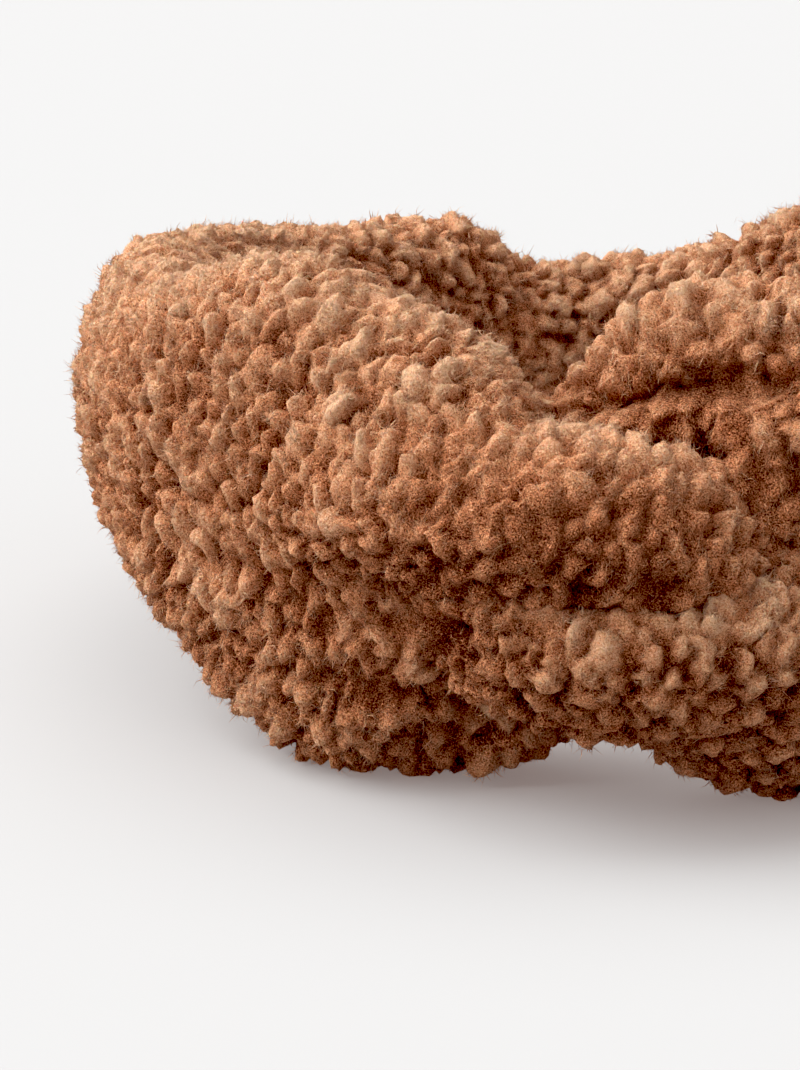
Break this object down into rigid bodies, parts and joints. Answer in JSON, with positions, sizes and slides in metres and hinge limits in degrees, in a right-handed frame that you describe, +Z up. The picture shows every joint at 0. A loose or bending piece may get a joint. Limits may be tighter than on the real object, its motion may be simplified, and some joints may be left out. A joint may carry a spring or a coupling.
{
  "type": "faux shearling headband",
  "caption": "Thick padded headband of curly faux shearling, a closed ring that is wide at the crossed, hooked front and narrows to the back.",
  "frame": {"origin": "under the middle of the ring's box, on the plane that its lower edge rests on", "axes": "+Z up through the head opening, -Y towards the crossed front, +X to the right as seen from the front"},
  "size_m": [0.1736, 0.1916, 0.0769],
  "materials": {
    "left_pile": "curly clumped faux shearling pile, caramel brown, matt with a soft sheen",
    "right_pile": "curly clumped faux shearling pile, caramel brown, matt with a soft sheen"
  },
  "bodies": {
    "root": {"left_band": "left_pile", "right_band": "right_pile"}
  },
  "joints": []
}
